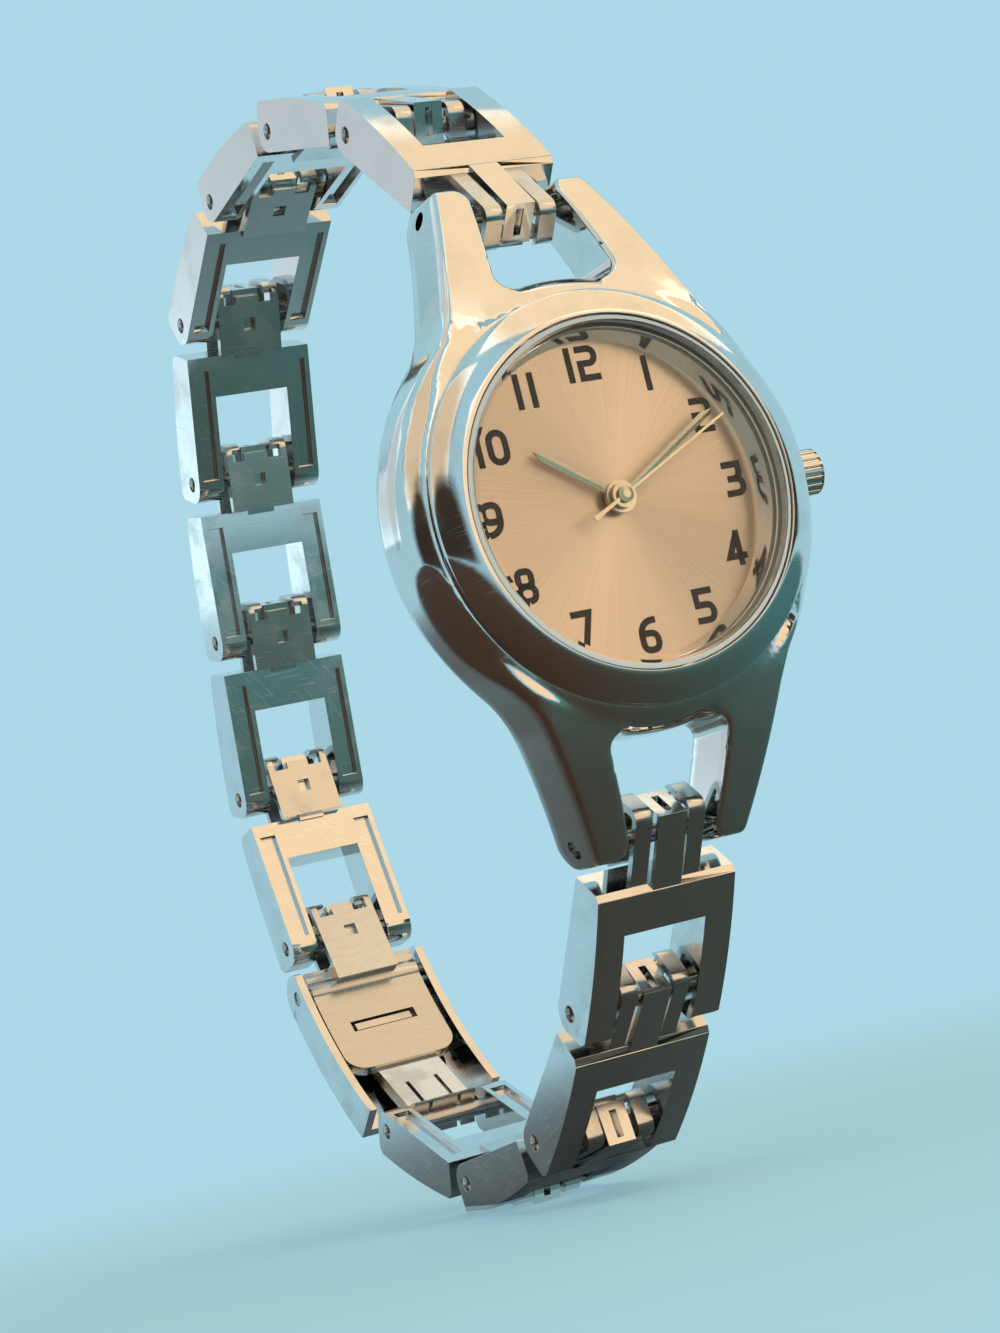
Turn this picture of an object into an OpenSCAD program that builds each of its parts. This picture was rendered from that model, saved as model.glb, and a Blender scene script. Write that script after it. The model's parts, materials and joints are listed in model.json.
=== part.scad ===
// Small round bracelet watch. Twelve-side and six-side links hinge on cross pins, and a fold-over
// clasp closes the loop. +X points to three o'clock, +Z to twelve and -Y out of the dial.
// The origin is the centre of the wrist opening. All sizes are millimetres and degrees.

/* [Bracelet] */
// Angle that each link turns from the one before it, from the twelve o'clock lugs on
upper_bends = [44.9, 24.3, 25.3, 25.8, 35.4, 10.7, 0.7, 23.9]; // [0:0.1:60]
// The same from the six o'clock lugs on
lower_bends = [37.2, 13.2, 29.0, 31.1]; // [0:0.1:60]
// Distance from pin to pin along a link
pitch = 12; // [9:0.1:16]
// Width of a link across the wrist
link_w = 9.8; // [7:0.1:14]
// Width of the window between a link's two rails
fork_w = 5.8; // [4:0.1:8]
// Distance from a pin to the cross bar of the link that hangs on it
bar_start = 2.45; // [2:0.05:3.5]
// Thickness of the cross bar along the link
bar_t = 3.0; // [2:0.1:4]
// How far a rail runs past its pin
rail_over = 1.4; // [1:0.1:2]
// Height of the arched outer face over the pins
arch_h = 2.27; // [1.8:0.01:3]
// Radius of the arched outer face
arch_r = 50; // [30:1:90]
// Depth of the wrist side below the pins at the cross bar
heel_near = 0.75; // [0.6:0.05:1.4]
// Depth of the wrist side below the pins at the rail ends
heel_far = 1.5; // [1:0.05:2]
// Rounding of a rail's end on the wrist side
rail_round = 1.3; // [0.8:0.1:1.4]
// Bevel on the outer edge of both ends
end_bevel = 0.35; // [0.1:0.05:0.6]
// Radius of the hinge pins
pin_r = 0.55; // [0.4:0.01:0.7]
// How far a pin's ends lie below the side faces
pin_sink = 0.3; // [0.1:0.05:0.6]

/* [Tongue and clip] */
// Reach of the solid middle bar beyond the pin
tongue_nose = 2.3; // [1.8:0.05:2.8]
// Width of the solid middle bar
tongue_w = 2.0; // [1.4:0.1:3]
// Height of the middle bar's outer face over the pin, at its nose
tongue_top = 1.75; // [1.4:0.05:2]
// Reach of the folded clip beyond the pin
clip_nose = 2.6; // [2:0.05:3]
// Overall width of the folded clip
clip_w = 4.9; // [4:0.1:5.4]
// Gap between the middle bar and each clip loop
clip_slit = 0.3; // [0.15:0.05:0.5]
// Thickness of the clip's sheet
clip_t = 0.47; // [0.3:0.01:0.6]
// Height of the clip's loops over the pin
clip_top = 1.6; // [1.4:0.05:1.8]
// Depth of the clip's back below the pin
clip_back = 1.45; // [1.3:0.05:1.8]

/* [Clasp] */
// Height of the cover's crown over the line from the last twelve-side pin to the last six-side pin
clasp_rise = 3.8; // [3:0.1:6]
// Radius of the cover's outer face
clasp_r = 32; // [24:1:50]
// Width of the cover
cover_w = 10.6; // [10:0.1:13]
// Thickness of the cover's side walls
cover_wall = 0.6; // [0.4:0.05:1]
// Thickness of the cover's top
cover_t = 0.7; // [0.5:0.05:1]
// Height of the cover's side walls
cover_h = 3.0; // [2.6:0.1:3.6]
// Thickness of the plate that the cover closes over
plate_t = 0.9; // [0.7:0.05:1.2]
// Gap between the plate and the cover's walls
plate_gap = 0.3; // [0.1:0.05:0.6]
// Radius of the cover's hinge pin
hinge_pin_r = 0.5; // [0.35:0.01:0.6]

/* [Case] */
// Distance from the dial's face back to the centre of the wrist opening
wrist_back = 29.5; // [24:0.5:36]
// Outer radius of the case
case_r = 14.1; // [12:0.1:18]
// Depth of the case's rim behind the dial's face
case_depth = 4.0; // [3.5:0.1:6]
// Radius of the bezel's outer edge
bezel_r = 12.7; // [11.5:0.1:15]
// Radius of the crystal
crystal_r = 10.45; // [9:0.05:13]
// Height of the crystal's outer face over the dial's face
crystal_top = 2.95; // [2.4:0.05:4]
// Distance of the lug pins from the dial's axis
lug_pin_out = 19.75; // [17:0.05:24]
// Depth of the lug pins behind the dial's face
lug_pin_back = 4.95; // [4:0.05:7]
// Gap between the lug tips
lug_gap = 5.8; // [5.4:0.1:8]
// Half width over the lug tips
lug_tip_x = 5.2; // [5:0.1:7]

/* [Dial and hands] */
// Radius of the dial that shows
dial_r = 9.75; // [8:0.05:12]
// Angle of the minute hand, clockwise from twelve
minute_angle = 59.5; // [0:0.5:360]
// Angle of the second hand, clockwise from twelve
second_angle = 64; // [0:0.5:360]
// Reach of the hour hand
hour_len = 6.1; // [4:0.1:8]
// Reach of the minute hand
minute_len = 8.6; // [6:0.1:9.5]
// Reach of the second hand
second_len = 8.9; // [6:0.1:9.5]

/* [Crown] */
// Radius of the crown
crown_r = 1.5; // [1.2:0.05:3]
// Length of the crown along the stem
crown_len = 2; // [1.9:0.1:5]
// Gap between the crown and the side of the case
crown_gap = 0.2; // [0.1:0.05:0.5]
// Depth of the stem behind the dial's face
stem_back = 2.4; // [2:0.05:3]
// Number of flutes on the crown
flutes = 18; // [12:1:40]

/* [Hidden] */
$fn = 96;
run_gap = 0.04;
spill = 1;
link_end = pitch + rail_over;
heel_slope = atan((heel_far - heel_near) / (link_end - bar_start));
slit_x = tongue_w / 2 + clip_slit;
dial_t = 0.4;
dial_fit = 0.05;
bore_r = 10.9;
ledge_r = 10.2;
ledge_z = 1.1;
ledge_t = 0.4;
gasket_t = 0.2;
gasket_w = 0.3;
neck_r = 11.3;
neck_top = 2.2;
seat_z = 1.0;
back_r = 12.6;
back_t = 0.6;
boss_r = 11.9;
boss_in = 11.2;
boss_h = 0.7;
back_seal_t = 0.25;
move_r = 8.7;
move_back = 3.5;
pipe_bottom = -1.4;
pipe_bore = 0.79;
tube_r = 0.95;
tube_from = boss_r + 0.1;
tube_over = 1;
crown_start = case_r + crown_gap;
crown_skirt = tube_over + 0.1;
stem_r = 0.45;
stem_grip = 0.5;
stem_from = move_r - 3.2;
groove_at = move_r - 2.1;
groove_l = 0.4;
groove_r = 0.28;
lever_play = 0.05;
minute_pipe = 0.52;
second_pipe = 0.26;
battery_r = 3.4;
battery_at = [-3.2, -3.6];
pocket_floor = -1.4;
upper_count = len(upper_bends);
lower_count = len(lower_bends);

// Direction of link i as an angle from the plane of the dial, and the place of the pin at its far end,
// as depth behind the dial and distance out from the dial's axis.
function heading(bends, i) = i < 0 ? 0 : bends[i] + heading(bends, i - 1);
function pin_place(bends, i) =
    i < 0
    ? [lug_pin_back, lug_pin_out]
    : pin_place(bends, i - 1) + pitch * [sin(heading(bends, i)), cos(heading(bends, i))];

// Centre of the circle of radius r through p and q, on the right-hand side of the way from p to q
function arc_centre(p, q, r) =
    (p + q) / 2 + sqrt(r * r - norm(q - p) * norm(q - p) / 4) / norm(q - p) * [q[1] - p[1], p[0] - q[0]];

// The clasp's own frame starts at the last twelve-side pin, and its first axis runs to the last
// six-side pin.
clasp_from = pin_place(upper_bends, upper_count - 1);
clasp_to = pin_place(lower_bends, lower_count - 1);
clasp_run = [clasp_to[0] - clasp_from[0], -clasp_to[1] - clasp_from[1]];
clasp_len = norm(clasp_run);
clasp_heading = atan2(clasp_run[0], clasp_run[1]);
clasp_c = [clasp_len / 2, clasp_rise - clasp_r];
inner_r = clasp_r - cover_t;
hinge_u = 3.6;
plate_drop = 1.0;
plate_out_r = inner_r - plate_drop;
plate_w = cover_w - 2 * cover_wall - 2 * plate_gap;
plate_end = clasp_len - 6.5;
plate_start = 2.3;
hinge_sink = 0.1;
hinge_on_r = plate_out_r - hinge_sink;
hinge_at = [hinge_u, on_ring(hinge_on_r, hinge_u)];
end_tilt = asin((clasp_c[0] - hinge_u / 2) / hinge_on_r);
hook_t = 0.4;
hook_r = plate_out_r + hook_t;
cover_end = clasp_len - 2.05;
lip_from = plate_end - 4.2;
lip_t = 0.6;

function on_ring(r, u) = clasp_c[1] + sqrt(pow(r, 2) - pow(u - clasp_c[0], 2));

// Arch of the lugs' wrist side and the rounding of their tips
tip_over = 1.25;
lug_tip_y = lug_pin_out + tip_over;
lug_back_r = 30;
lug_root = [case_r - 0.6, -case_depth - 0.5];
lug_heel = [lug_pin_out - 0.45, -lug_pin_back - 1.95];
lug_back_c = arc_centre(lug_root, lug_heel, lug_back_r);
tip_round = 1.3;
tip_reach = lug_back_r + tip_round;
tip_round_x = lug_tip_y - tip_round;
tip_round_at = [tip_round_x, lug_back_c[1] + sqrt(pow(tip_reach, 2) - pow(tip_round_x - lug_back_c[0], 2))];
tip_touch = tip_round_at + tip_round / tip_reach * (lug_back_c - tip_round_at);

// Frames

// Children's first axis runs across the wrist, the second to twelve, the third out of the dial.
module watch_axis() {
    translate([0, -wrist_back, 0])
        rotate([90, 0, 0])
            children();
}

// Children's second axis runs along link i from its near pin to its far pin, the third outwards.
module on_link(side, i) {
    bends = side > 0 ? upper_bends : lower_bends;
    p = pin_place(bends, i - 2);
    translate([0, p[0] - wrist_back, side * p[1]])
        rotate([90 - side * heading(bends, i - 1), 0, 0])
            rotate([0, 0, side > 0 ? 0 : 180])
                children();
}

module on_clasp() {
    translate([0, clasp_from[0] - wrist_back, clasp_from[1]])
        rotate([90 - clasp_heading, 0, 0])
            children();
}

module on_stem() {
    watch_axis()
        translate([0, 0, -stem_back])
            rotate([0, 90, 0])
                children();
}

// A side outline, drawn along and outwards, made w wide across the wrist
module across(w) {
    rotate([90, 0, 90])
        translate([0, 0, -w / 2])
            linear_extrude(w)
                children();
}

module cross_pin(r, w) {
    rotate([0, 90, 0])
        cylinder(r = r, h = w, center = true);
}

module spun() {
    watch_axis()
        rotate_extrude()
            children();
}

module both_sides() {
    children();
    mirror([1, 0, 0])
        children();
}

// Bracelet links

module link_outline() {
    arch_c = [(bar_start + link_end) / 2, arch_h - arch_r];
    arch_end = arch_c[1] + sqrt(pow(arch_r, 2) - pow(arch_c[0] - bar_start, 2));
    round_u = link_end - rail_round;
    round_n = rail_round / cos(heel_slope) - heel_near - (round_u - bar_start) * tan(heel_slope);
    touch = [round_u - rail_round * sin(heel_slope), round_n - rail_round * cos(heel_slope)];
    intersection() {
        union() {
            polygon([
                [bar_start, -heel_near],
                touch,
                [link_end, round_n],
                [link_end, arch_end - end_bevel],
                [link_end - end_bevel, arch_end],
                [link_end - end_bevel, arch_h],
                [bar_start + end_bevel, arch_h],
                [bar_start + end_bevel, arch_end],
                [bar_start, arch_end - end_bevel]
            ]);
            translate([round_u, round_n])
                circle(rail_round);
        }
        translate(arch_c)
            circle(arch_r);
    }
}

// Shallow pocket in the wrist side of a rail
module rail_pocket() {
    rail_w = (link_w - fork_w) / 2;
    rim = 0.4;
    depth = 0.4;
    translate([fork_w / 2 + rim, bar_start, -heel_near])
        rotate([-heel_slope, 0, 0])
            translate([0, spill, -spill])
                cube([rail_w - 2 * rim, pitch - bar_start - spill - rim, spill + depth]);
}

module tongue_bar() {
    root = bar_start + end_bevel;
    across(tongue_w)
        polygon([
            [-tongue_nose, clip_t - clip_back],
            [root, clip_t - clip_back],
            [root, tongue_top + 0.2],
            [-tongue_nose, tongue_top]
        ]);
}

module nose_slot() {
    slot_w = 0.5;
    slot_depth = 0.9;
    translate([-slot_w / 2, -tongue_nose - spill, -slot_depth / 2])
        cube([slot_w, spill + slot_depth, 2 * slot_depth]);
}

module link_frame() {
    difference() {
        union() {
            difference() {
                across(link_w)
                    link_outline();
                translate([-fork_w / 2, bar_start + bar_t, -pitch / 2])
                    cube([fork_w, pitch, pitch]);
                both_sides()
                    rail_pocket();
            }
            tongue_bar();
        }
        translate([0, pitch, 0])
            cross_pin(pin_r, link_w + 2 * spill);
        cross_pin(pin_r + run_gap, clip_w);
        nose_slot();
    }
}

// Rounded at its two corners on the nose side
module clip_shape(nose, root, low, high, r) {
    translate([nose + r, low])
        square([root - nose - r, high - low]);
    translate([nose, low + r])
        square([2 * r, high - low - 2 * r]);
    for (n = [low + r, high - r])
        translate([nose + r, n])
            circle(r);
}

module clip_outline() {
    bend_r = 0.8;
    difference() {
        clip_shape(-clip_nose, bar_start, -clip_back, clip_top, bend_r);
        clip_shape(
            clip_t - clip_nose,
            bar_start + spill,
            clip_t - clip_back,
            clip_top - clip_t,
            bend_r - clip_t
        );
    }
}

module clip_windows() {
    window = [1.1, 0.9];
    window_at = [0.85, -2.15];
    slot = [0.9, 0.9];
    slot_at = [-0.45, -0.2];
    drop = clip_back + spill;
    both_sides()
        translate([window_at[0], window_at[1], -drop])
            cube([window[0], window[1], drop - clip_back + clip_t]);
    translate([slot_at[0], slot_at[1], -drop])
        cube([slot[0], slot[1], drop - clip_back + clip_t]);
}

module folded_clip() {
    loop_w = clip_w / 2 - slit_x;
    plate_from = 1.8;
    difference() {
        union() {
            both_sides()
                translate([slit_x + loop_w / 2, 0, 0])
                    across(loop_w)
                        clip_outline();
            translate([-clip_w / 2, -plate_from, -clip_back])
                cube([clip_w, plate_from + bar_start, clip_t]);
        }
        clip_windows();
    }
}

module hinge_pin(w) {
    cross_pin(pin_r, w - 2 * pin_sink);
}

module link(side, i) {
    color([0.76, 0.76, 0.78])
        on_link(side, i)
            link_frame();
}

module clip(side, i) {
    color([0.68, 0.68, 0.7])
        on_link(side, i)
            folded_clip();
}

module pin(side, i) {
    color([0.55, 0.55, 0.58])
        on_link(side, i)
            translate([0, pitch, 0])
                hinge_pin(link_w);
}

module lug_pin(side) {
    color([0.55, 0.55, 0.58])
        watch_axis()
            translate([0, side * lug_pin_out, -lug_pin_back])
                hinge_pin(2 * lug_tip_x);
}

// Clasp

module clasp_ring(r_out, r_in) {
    translate(clasp_c)
        difference() {
            circle(r_out);
            circle(r_in);
        }
}

// Between two distances along the clasp, over the whole height that it uses
module stretch(from, to) {
    translate([from, -clasp_rise])
        square([to - from, 3 * clasp_rise]);
}

// Takes the square corner off a plate whose corner rounding is centred on the origin
module corner_cut(r) {
    difference() {
        translate([0, 0, -clasp_rise])
            cube([r + spill, r + spill, 3 * clasp_rise]);
        translate([0, 0, -clasp_rise - spill])
            cylinder(r = r, h = 3 * clasp_rise + 2 * spill);
    }
}

module clasp_base() {
    corner_r = 1.5;
    root_bar = 1.4;
    lip_room = 0.15;
    lip_w = clip_w + 2 * lip_room;
    color([0.72, 0.72, 0.74])
        on_clasp()
            difference() {
                union() {
                    across(plate_w)
                        intersection() {
                            clasp_ring(plate_out_r, plate_out_r - plate_t);
                            stretch(plate_start, plate_end);
                        }
                    translate([0, hinge_at[0], hinge_at[1]])
                        cross_pin(2 * hinge_pin_r, plate_w);
                    rotate([end_tilt, 0, 0]) {
                        tongue_bar();
                        folded_clip();
                        translate([-clip_w / 2, bar_start, -clip_back])
                            cube([clip_w, root_bar, clip_back + clip_top]);
                    }
                }
                translate([0, hinge_at[0], hinge_at[1]])
                    cross_pin(hinge_pin_r, plate_w + spill);
                rotate([end_tilt, 0, 0]) {
                    cross_pin(pin_r + run_gap, clip_w + spill);
                    nose_slot();
                }
                both_sides()
                    translate([plate_w / 2 - corner_r, plate_end - corner_r, 0])
                        corner_cut(corner_r);
                translate([-lip_w / 2, lip_from - lip_room, 0])
                    cube([lip_w, lip_t + 2 * lip_room, clasp_rise]);
            }
}

// Way out of the six-side pin's seat, on the wrist side and in front, where the loop parts
module seat_mouth() {
    way_up = 60;
    way_down = 15;
    half = pin_r + run_gap / 2;
    far = 6;
    up_from = half * [-sin(way_up), cos(way_up)];
    down_from = half * [-cos(way_down), sin(way_down)];
    polygon([
        up_from,
        up_from + far * [cos(way_up), sin(way_up)],
        [far, -far],
        down_from - far * [sin(way_down), cos(way_down)],
        down_from
    ]);
}

// Straight strip of thickness t from p to q, drawn along and outwards
module strip(p, q, t) {
    translate(p)
        rotate(atan2(q[1] - p[1], q[0] - p[0]))
            translate([0, -t / 2])
                square([norm(q - p), t]);
}

module clasp_hook() {
    eye_r = 1.45;
    arm_t = 1.0;
    arm_over = 0.3;
    arm_from = [plate_end - arm_over, on_ring(plate_out_r, plate_end - arm_over)];
    slot_from = clasp_len - 4.2;
    lip_w = clip_w - 0.4;
    lip_top = on_ring(plate_out_r + 0.25, lip_from);
    lip_deep = 1.0;
    color([0.68, 0.68, 0.7])
        on_clasp()
            difference() {
                union() {
                    across(clip_w)
                        intersection() {
                            clasp_ring(hook_r, plate_out_r);
                            stretch(lip_from - 0.1, plate_end + arm_over);
                        }
                    translate([-lip_w / 2, lip_from, lip_top - lip_deep])
                        cube([lip_w, lip_t, lip_deep]);
                    across(clip_w)
                        intersection() {
                            strip(arm_from, [clasp_len, 0], arm_t);
                            stretch(plate_end, clasp_len);
                        }
                    translate([0, clasp_len, 0])
                        cross_pin(eye_r, clip_w);
                }
                translate([0, clasp_len, 0]) {
                    cross_pin(pin_r + 1.5 * run_gap, clip_w + spill);
                    across(clip_w + spill)
                        seat_mouth();
                }
                both_sides()
                    translate([tongue_w / 2, slot_from, -clasp_rise])
                        cube([clip_slit, clasp_len, 2 * clasp_rise]);
            }
}

module clasp_hinge_pin() {
    color([0.55, 0.55, 0.58])
        on_clasp()
            translate([0, hinge_at[0], hinge_at[1]])
                cross_pin(hinge_pin_r, cover_w - 0.2);
}

module cover_outline() {
    difference() {
        union() {
            intersection() {
                translate(clasp_c)
                    circle(clasp_r);
                stretch(hinge_u, cover_end);
            }
            translate(hinge_at)
                circle(clasp_r - hinge_on_r);
        }
        translate(clasp_c)
            circle(clasp_r - cover_h);
    }
}

module cover_hollow() {
    hinge_room = 0.1;
    stretch(-spill, hinge_u + hinge_room);
    intersection() {
        translate(clasp_c)
            circle(inner_r);
        stretch(0, clasp_len);
    }
}

// The notch at the hinged end lets the open cover pass the plate's middle bar and clip.
module clasp_cover() {
    notch_w = clip_w + 0.4;
    notch_end = hinge_u + 1.3;
    color([0.8, 0.8, 0.82])
        on_clasp()
            difference() {
                across(cover_w)
                    cover_outline();
                across(cover_w - 2 * cover_wall)
                    cover_hollow();
                translate([-notch_w / 2, 0, 0])
                    cube([notch_w, notch_end, 2 * clasp_rise]);
                translate([0, hinge_at[0], hinge_at[1]])
                    cross_pin(hinge_pin_r + run_gap, cover_w + spill);
            }
}

// Case

module case_outline() {
    shoulder_r = 2.6;
    shoulder_x = case_r - shoulder_r;
    shoulder_z = seat_z - sqrt(pow(shoulder_r, 2) - pow(bezel_r + 0.05 - shoulder_x, 2));
    back_bevel = 0.7;
    square([neck_r, neck_top + case_depth]);
    translate([0, case_depth]) {
        intersection() {
            translate([0, shoulder_z])
                square([case_r, seat_z - shoulder_z]);
            union() {
                translate([0, shoulder_z])
                    square([shoulder_x, shoulder_r]);
                translate([shoulder_x, shoulder_z])
                    circle(shoulder_r);
            }
        }
        polygon([
            [0, -case_depth],
            [case_r - back_bevel, -case_depth],
            [case_r, -case_depth + 1.2 * back_bevel],
            [case_r, shoulder_z],
            [0, shoulder_z]
        ]);
    }
}

// Lug arm seen from the front, for the arm at positive x and positive y
module lug_plan() {
    spread = 51.6;
    notch_x = 0.75 * lug_gap;
    notch_y = case_r - 0.8;
    polygon([
        [lug_gap / 2, lug_tip_y],
        [lug_tip_x, lug_tip_y],
        case_r * [cos(spread), sin(spread)],
        0.82 * case_r * [cos(45), sin(45)],
        [notch_x, notch_y - 2.5],
        [notch_x, notch_y]
    ]);
}

// The same arm seen from the side, as distance out and height over the dial's face
module lug_side() {
    front_from = [case_r - 0.8, 0.3];
    front_to = [lug_tip_y - 0.2, 1.95 - lug_pin_back];
    front_r = 33;
    inside = 0.57 * case_r;
    intersection() {
        difference() {
            polygon([
                [inside, case_depth],
                [lug_tip_y, case_depth],
                [lug_tip_y, tip_round_at[1]],
                tip_touch,
                [inside, -3.5 * case_depth]
            ]);
            translate(lug_back_c)
                circle(lug_back_r);
        }
        translate(arc_centre(front_from, front_to, front_r))
            circle(front_r);
    }
}

module lug_arm() {
    intersection() {
        translate([0, 0, -4 * case_depth])
            linear_extrude(5 * case_depth)
                lug_plan();
        union() {
            translate([case_r, 0, 0])
                across(2 * case_r)
                    lug_side();
            translate([case_r, tip_round_at[0], tip_round_at[1]])
                cross_pin(tip_round, 2 * case_r);
        }
    }
}

module case_body() {
    stem_hole = stem_r + 0.1;
    lip_r = bezel_r + 0.05;
    color([0.78, 0.78, 0.8])
        watch_axis()
            difference() {
                union() {
                    translate([0, 0, -case_depth])
                        rotate_extrude()
                            case_outline();
                    both_sides() {
                        lug_arm();
                        mirror([0, 1, 0])
                            lug_arm();
                    }
                }
                translate([0, 0, seat_z])
                    difference() {
                        cylinder(r = lip_r, h = case_depth);
                        cylinder(r = neck_r, h = case_depth);
                    }
                translate([0, 0, -case_depth - spill])
                    cylinder(r = bore_r, h = case_depth + spill + ledge_z);
                cylinder(r = ledge_r, h = case_depth);
                translate([0, 0, ledge_z + ledge_t])
                    cylinder(r = crystal_r + gasket_w, h = case_depth);
                translate([0, 0, -case_depth - spill])
                    cylinder(r = boss_r, h = spill + boss_h + back_seal_t);
                translate([0, 0, -2 * case_depth])
                    cylinder(r = back_r + dial_fit, h = case_depth);
                translate([0, 0, -stem_back])
                    rotate([0, 90, 0]) {
                        cylinder(r = stem_hole, h = case_r);
                        translate([0, 0, tube_from])
                            cylinder(r = tube_r, h = case_r);
                    }
                for (side = [-1, 1])
                    translate([0, side * lug_pin_out, -lug_pin_back])
                        cross_pin(pin_r, 2 * case_r);
            }
}

module bezel() {
    lip_r = crystal_r + gasket_w + 0.1;
    lip_z = 2.75;
    edge_z = 1.64;
    round_r = 4;
    color([0.8, 0.8, 0.82])
        spun()
            intersection() {
                difference() {
                    translate([lip_r, seat_z])
                        square([bezel_r - lip_r, case_depth]);
                    translate([0, seat_z])
                        square([neck_r, neck_top - seat_z]);
                }
                translate(arc_centre([lip_r, lip_z], [bezel_r, edge_z], round_r))
                    circle(round_r);
            }
}

module crystal_gasket() {
    bottom = ledge_z + ledge_t;
    color([0.9, 0.9, 0.88])
        spun() {
            translate([ledge_r, bottom])
                square([crystal_r + gasket_w - ledge_r, gasket_t]);
            translate([crystal_r, bottom])
                square([gasket_w, gasket_t + 0.9]);
        }
}

module crystal() {
    bottom = ledge_z + ledge_t + gasket_t;
    edge = 0.15;
    color([0.8, 0.88, 0.9, 0.4])
        spun()
            polygon([
                [0, bottom],
                [crystal_r, bottom],
                [crystal_r, crystal_top - edge],
                [crystal_r - edge, crystal_top],
                [0, crystal_top]
            ]);
}

module dial_ring() {
    color([0.8, 0.8, 0.8])
        spun()
            polygon([
                [dial_r, 0],
                [bore_r - dial_fit, 0],
                [bore_r - dial_fit, ledge_z],
                [ledge_r - dial_fit, ledge_z]
            ]);
}

module dial() {
    hole_r = 0.9;
    color([0.85, 0.8, 0.72])
        spun()
            translate([hole_r, -dial_t])
                square([bore_r - dial_fit - hole_r, dial_t]);
}

// Hands

// Blade with a ridge along it and a pointed end, pointing to twelve
module blade(length, w, base_z) {
    point = 0.7;
    ridge = 0.2;
    translate([0, 0, base_z])
        intersection() {
            rotate([-90, 0, 0])
                linear_extrude(length)
                    polygon([[-w / 2, 0], [w / 2, 0], [w / 2, -0.06], [0, -ridge], [-w / 2, -0.06]]);
            linear_extrude(1)
                polygon([
                    [-w * 0.35, 0],
                    [w * 0.35, 0],
                    [w / 2, length - point],
                    [0, length],
                    [-w / 2, length - point]
                ]);
        }
}

// Hub with a pipe that goes down through the dial
module hub(r, base_z, h, pipe_r, hole_r) {
    difference() {
        union() {
            translate([0, 0, base_z])
                cylinder(r = r, h = h);
            translate([0, 0, pipe_bottom])
                cylinder(r = pipe_r, h = base_z - pipe_bottom + h / 2);
        }
        translate([0, 0, pipe_bottom - spill])
            cylinder(r = hole_r, h = base_z - pipe_bottom + h + 2 * spill);
    }
}

module hour_hand() {
    base_z = 0.45;
    hole_r = minute_pipe + run_gap;
    color([0.75, 0.72, 0.66])
        watch_axis()
            rotate([0, 0, -300 - minute_angle / 12]) {
                hub(1.0, base_z, 0.35, pipe_bore - run_gap, hole_r);
                difference() {
                    blade(hour_len, 0.58, base_z);
                    cylinder(r = hole_r, h = 2);
                }
            }
}

module minute_hand() {
    base_z = 0.88;
    hole_r = second_pipe + run_gap;
    color([0.75, 0.72, 0.66])
        watch_axis()
            rotate([0, 0, -minute_angle]) {
                hub(0.78, base_z, 0.3, minute_pipe, hole_r);
                difference() {
                    blade(minute_len, 0.5, base_z);
                    cylinder(r = hole_r, h = 2);
                }
            }
}

module second_hand() {
    base_z = 1.24;
    tail = 2.7;
    arm_w = 0.16;
    tail_w = 0.3;
    arm_t = 0.1;
    cap_r = 0.5;
    cap_h = 0.16;
    cap_dome = 0.12;
    color([0.78, 0.75, 0.7])
        watch_axis()
            rotate([0, 0, -second_angle]) {
                translate([0, 0, pipe_bottom])
                    cylinder(r = second_pipe, h = base_z - pipe_bottom + arm_t);
                translate([0, 0, base_z])
                    cylinder(r = cap_r, h = cap_h);
                translate([0, 0, base_z + cap_h])
                    cylinder(r1 = cap_r, r2 = cap_r / 2, h = cap_dome);
                translate([-arm_w / 2, 0, base_z])
                    cube([arm_w, second_len, arm_t]);
                translate([0, 0, base_z])
                    linear_extrude(arm_t)
                        polygon([[-arm_w / 2, 0], [arm_w / 2, 0], [tail_w / 2, -tail], [-tail_w / 2, -tail]]);
            }
}

// Crown and setting

module crown_tube() {
    color([0.7, 0.7, 0.72])
        on_stem()
            translate([0, 0, tube_from])
                difference() {
                    cylinder(r = tube_r, h = crown_start + tube_over - tube_from);
                    translate([0, 0, -spill])
                        cylinder(r = stem_r + run_gap, h = case_r);
                }
}

module stem() {
    color([0.6, 0.6, 0.62])
        on_stem()
            difference() {
                translate([0, 0, stem_from])
                    cylinder(r = stem_r, h = crown_start + crown_skirt + stem_grip - stem_from);
                translate([0, 0, groove_at])
                    difference() {
                        cylinder(r = 2 * stem_r, h = groove_l);
                        translate([0, 0, -spill])
                            cylinder(r = groove_r, h = groove_l + 2 * spill);
                    }
            }
}

module setting_lever() {
    lever_w = 1.6;
    low = 0.9;
    high = 0.5;
    slot_r = groove_r + run_gap;
    color([0.65, 0.6, 0.45])
        watch_axis()
            translate([groove_at + lever_play, 0, -stem_back])
                difference() {
                    translate([0, -lever_w / 2, -low])
                        cube([groove_l - 2 * lever_play, lever_w, low + high]);
                    rotate([0, 90, 0])
                        translate([0, 0, -spill])
                            cylinder(r = slot_r, h = 3);
                    translate([-spill, -slot_r, 0])
                        cube([3, 2 * slot_r, 2]);
                }
}

module crown() {
    dome_r = 1.6 * crown_r;
    flute_r = 0.15;
    flute_end = 0.5;
    color([0.76, 0.76, 0.78])
        on_stem()
            translate([0, 0, crown_start])
                difference() {
                    rotate_extrude()
                        intersection() {
                            square([crown_r, crown_len]);
                            union() {
                                square([crown_r, crown_len / 2]);
                                translate([0, crown_len - dome_r])
                                    circle(dome_r);
                            }
                        }
                    translate([0, 0, -spill])
                        cylinder(r = tube_r + run_gap, h = crown_skirt + spill);
                    cylinder(r = stem_r, h = crown_skirt + stem_grip);
                    for (i = [0:flutes - 1])
                        rotate([0, 0, i * 360 / flutes])
                            translate([crown_r, 0, -spill])
                                cylinder(r = flute_r, h = crown_len - flute_end + spill);
                }
}

// Back of the case

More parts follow.
